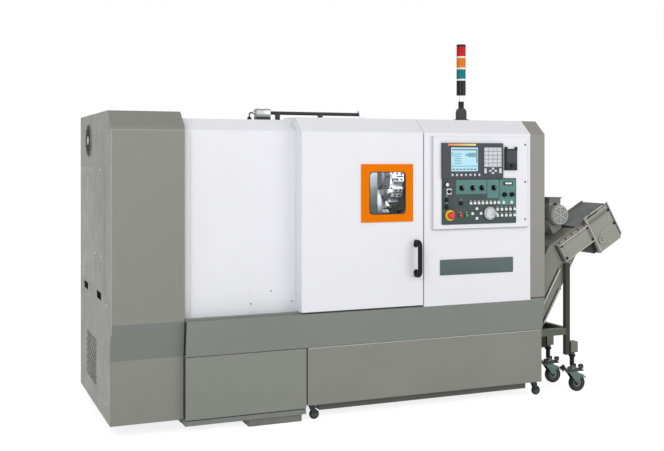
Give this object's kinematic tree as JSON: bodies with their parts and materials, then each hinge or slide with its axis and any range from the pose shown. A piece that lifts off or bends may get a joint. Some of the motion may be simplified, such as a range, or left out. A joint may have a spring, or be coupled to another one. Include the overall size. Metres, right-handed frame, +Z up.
{
  "type": "cnc turning lathe",
  "caption": "Enclosed slant-bed turning lathe with a sliding windowed door, a control panel, a tool turret, a signal tower and an inclined chip conveyor on casters.",
  "frame": {"origin": "centre of the underside of the front sole block, on the floor", "axes": "+Z up, +X to the right along the spindle and the longest side, +Y from the door to the back"},
  "size_m": [3.154, 1.5523, 2.101],
  "materials": {
    "cabinet_grey": "satin",
    "band_grey": "satin",
    "panel_white": "satin",
    "frame_orange": "satin",
    "window_clear": "clear",
    "handle_black": "matte",
    "unit_grey": "matte",
    "key_white": "matte",
    "operator_green": "matte",
    "stop_red": "gloss",
    "start_green": "gloss",
    "casting_grey": "painted",
    "sole_iron": "rough",
    "splash_grey": "satin",
    "machined_steel": "machined",
    "carriage_aluminium": "satin",
    "guard_steel": "bright",
    "tower_black": "matte",
    "lens_green": "translucent",
    "lens_amber": "translucent",
    "lens_red": "translucent",
    "conveyor_grey": "satin",
    "hood_dark": "satin",
    "motor_grey": "satin",
    "fork_zinc": "zinc plated",
    "wheel_rubber": "matte"
  },
  "bodies": {
    "machine": {"bed": "casting_grey", "sole_blocks": "sole_iron", "left_cabinet": "cabinet_grey", "fan_guard": "guard_steel", "canopy": "panel_white", "front_apron": "band_grey", "lower_left_panel": "band_grey", "right_panel": "panel_white", "right_end_cover": "cabinet_grey", "rear_cover": "cabinet_grey", "headstock": "casting_grey", "splash_wall": "splash_grey", "door_cylinder": "handle_black", "control_box": "panel_white", "control_unit": "unit_grey", "keypad": "key_white", "operator_panel": "operator_green", "tower_stand": "tower_black", "tower_lens_green": "lens_green", "tower_lens_amber": "lens_amber", "tower_lens_red": "lens_red", "coolant_tank": "band_grey", "conveyor_case": "conveyor_grey", "conveyor_hood": "hood_dark", "conveyor_motor": "motor_grey", "conveyor_stand": "conveyor_grey"},
    "fan": {"fan_rotor": "handle_black"},
    "electrical_door": {"electrical_door": "cabinet_grey"},
    "card_cover": {"card_cover": "handle_black"},
    "key_switch": {"key_switch": "handle_black"},
    "emergency_stop": {"emergency_stop": "stop_red"},
    "cycle_start_button": {"cycle_start_button": "start_green"},
    "feed_hold_button": {"feed_hold_button": "stop_red"},
    "mode_knob": {"mode_knob": "handle_black"},
    "feed_knob": {"feed_knob": "handle_black"},
    "rapid_knob": {"rapid_knob": "handle_black"},
    "spindle_knob": {"spindle_knob": "handle_black"},
    "handwheel": {"handwheel": "key_white"},
    "door": {"door_panel": "panel_white", "window_frame": "frame_orange", "window_glass": "window_clear", "door_handle": "handle_black", "door_carriage": "carriage_aluminium"},
    "spindle": {"spindle": "machined_steel", "chuck": "machined_steel"},
    "jaw_1": {"jaw_1": "machined_steel"},
    "jaw_2": {"jaw_2": "machined_steel"},
    "jaw_3": {"jaw_3": "machined_steel"},
    "saddle": {"saddle": "casting_grey"},
    "cross_slide": {"cross_slide": "casting_grey"},
    "turret": {"turret": "machined_steel"},
    "head_drum": {"head_drum": "machined_steel"},
    "left_tank_caster_fork": {"left_tank_caster_fork": "fork_zinc"},
    "left_tank_caster_wheel": {"left_tank_caster_wheel": "wheel_rubber"},
    "right_tank_caster_fork": {"right_tank_caster_fork": "fork_zinc"},
    "right_tank_caster_wheel": {"right_tank_caster_wheel": "wheel_rubber"},
    "front_stand_caster_fork": {"front_stand_caster_fork": "fork_zinc"},
    "front_stand_caster_wheel": {"front_stand_caster_wheel": "wheel_rubber"},
    "rear_stand_caster_fork": {"rear_stand_caster_fork": "fork_zinc"},
    "rear_stand_caster_wheel": {"rear_stand_caster_wheel": "wheel_rubber"}
  },
  "joints": [
    {"name": "fan_spin", "type": "hinge", "parent": "machine", "child": "fan", "pos_m": [-0.837, 0.648, 1.517], "axis": [1, 0, 0], "continuous": true},
    {"name": "electrical_door_swing", "type": "hinge", "parent": "machine", "child": "electrical_door", "pos_m": [1.23, 1.3603, 0.955], "axis": [0, 0, -1], "range_deg": [0, 110]},
    {"name": "card_cover_swing", "type": "hinge", "parent": "machine", "child": "card_cover", "pos_m": [1.386, -0.1453, 1.4095], "axis": [0, 0, -1], "range_deg": [0, 100]},
    {"name": "key_turn", "type": "hinge", "parent": "machine", "child": "key_switch", "pos_m": [1.018, -0.139, 1.228], "axis": [0, -1, 0], "range_deg": [0, 90]},
    {"name": "emergency_stop_press", "type": "slide", "parent": "machine", "child": "emergency_stop", "axis": [0, 1, 0], "range_m": [0, 0.006]},
    {"name": "cycle_start_press", "type": "slide", "parent": "machine", "child": "cycle_start_button", "axis": [0, 1, 0], "range_m": [0, 0.004], "stiffness_N_per_m": 300},
    {"name": "feed_hold_press", "type": "slide", "parent": "machine", "child": "feed_hold_button", "axis": [0, 1, 0], "range_m": [0, 0.004], "stiffness_N_per_m": 300},
    {"name": "mode_knob_turn", "type": "hinge", "parent": "machine", "child": "mode_knob", "pos_m": [1.09893, -0.139, 1.247], "axis": [0, -1, 0], "range_deg": [-120, 120]},
    {"name": "feed_knob_turn", "type": "hinge", "parent": "machine", "child": "feed_knob", "pos_m": [1.17096, -0.139, 1.247], "axis": [0, -1, 0], "range_deg": [-120, 120]},
    {"name": "rapid_knob_turn", "type": "hinge", "parent": "machine", "child": "rapid_knob", "pos_m": [1.23123, -0.139, 1.247], "axis": [0, -1, 0], "range_deg": [-120, 120]},
    {"name": "spindle_knob_turn", "type": "hinge", "parent": "machine", "child": "spindle_knob", "pos_m": [1.3111, -0.139, 1.247], "axis": [0, -1, 0], "range_deg": [-120, 120]},
    {"name": "handwheel_turn", "type": "hinge", "parent": "machine", "child": "handwheel", "pos_m": [1.284, -0.139, 1.1], "axis": [0, -1, 0], "continuous": true},
    {"name": "door_slide", "type": "slide", "parent": "machine", "child": "door", "axis": [-1, 0, 0], "range_m": [0, 0.54]},
    {"name": "spindle_turn", "type": "hinge", "parent": "machine", "child": "spindle", "pos_m": [0.19, 0.315, 1.13], "axis": [1, 0, 0], "continuous": true},
    {"name": "jaw_1_slide", "type": "slide", "parent": "spindle", "child": "jaw_1", "axis": [0, 0, 1], "range_m": [-0.004, 0.004]},
    {"name": "jaw_2_slide", "type": "slide", "parent": "spindle", "child": "jaw_2", "axis": [0, -0.866, -0.5], "range_m": [-0.004, 0.004]},
    {"name": "jaw_3_slide", "type": "slide", "parent": "spindle", "child": "jaw_3", "axis": [0, 0.866, -0.5], "range_m": [-0.004, 0.004]},
    {"name": "saddle_slide", "type": "slide", "parent": "machine", "child": "saddle", "axis": [1, 0, 0], "range_m": [-0.02, 0.33]},
    {"name": "cross_slide_feed", "type": "slide", "parent": "saddle", "child": "cross_slide", "axis": [0, 0.7071, 0.7071], "range_m": [-0.045, 0.1]},
    {"name": "turret_index", "type": "hinge", "parent": "cross_slide", "child": "turret", "pos_m": [0.98, 0.49178, 1.30678], "axis": [1, 0, 0], "continuous": true},
    {"name": "left_tank_caster_swivel", "type": "hinge", "parent": "machine", "child": "left_tank_caster_fork", "pos_m": [0.213, -0.057, 0.027], "axis": [0, 0, 1], "continuous": true},
    {"name": "left_tank_caster_roll", "type": "hinge", "parent": "left_tank_caster_fork", "child": "left_tank_caster_wheel", "pos_m": [0.227, -0.057, 0.027], "axis": [0, 1, 0], "continuous": true},
    {"name": "right_tank_caster_swivel", "type": "hinge", "parent": "machine", "child": "right_tank_caster_fork", "pos_m": [1.642, -0.057, 0.027], "axis": [0, 0, 1], "continuous": true},
    {"name": "right_tank_caster_roll", "type": "hinge", "parent": "right_tank_caster_fork", "child": "right_tank_caster_wheel", "pos_m": [1.656, -0.057, 0.027], "axis": [0, 1, 0], "continuous": true},
    {"name": "front_stand_caster_swivel", "type": "hinge", "parent": "machine", "child": "front_stand_caster_fork", "pos_m": [1.906, -0.075, 0.052], "axis": [0, 0, 1], "continuous": true},
    {"name": "front_stand_caster_roll", "type": "hinge", "parent": "front_stand_caster_fork", "child": "front_stand_caster_wheel", "pos_m": [1.94, -0.075, 0.052], "axis": [0, 1, 0], "continuous": true},
    {"name": "rear_stand_caster_swivel", "type": "hinge", "parent": "machine", "child": "rear_stand_caster_fork", "pos_m": [1.906, 0.17, 0.052], "axis": [0, 0, 1], "continuous": true},
    {"name": "rear_stand_caster_roll", "type": "hinge", "parent": "rear_stand_caster_fork", "child": "rear_stand_caster_wheel", "pos_m": [1.94, 0.17, 0.052], "axis": [0, 1, 0], "continuous": true},
    {"name": "head_drum_turn", "type": "hinge", "parent": "machine", "child": "head_drum", "pos_m": [2.13112, 0.0475, 0.91966], "axis": [0, 1, 0], "continuous": true}
  ],
  "couplings": [
    {"joint": "jaw_2_slide", "follows": "jaw_1_slide", "ratio": 1},
    {"joint": "jaw_3_slide", "follows": "jaw_1_slide", "ratio": 1}
  ]
}
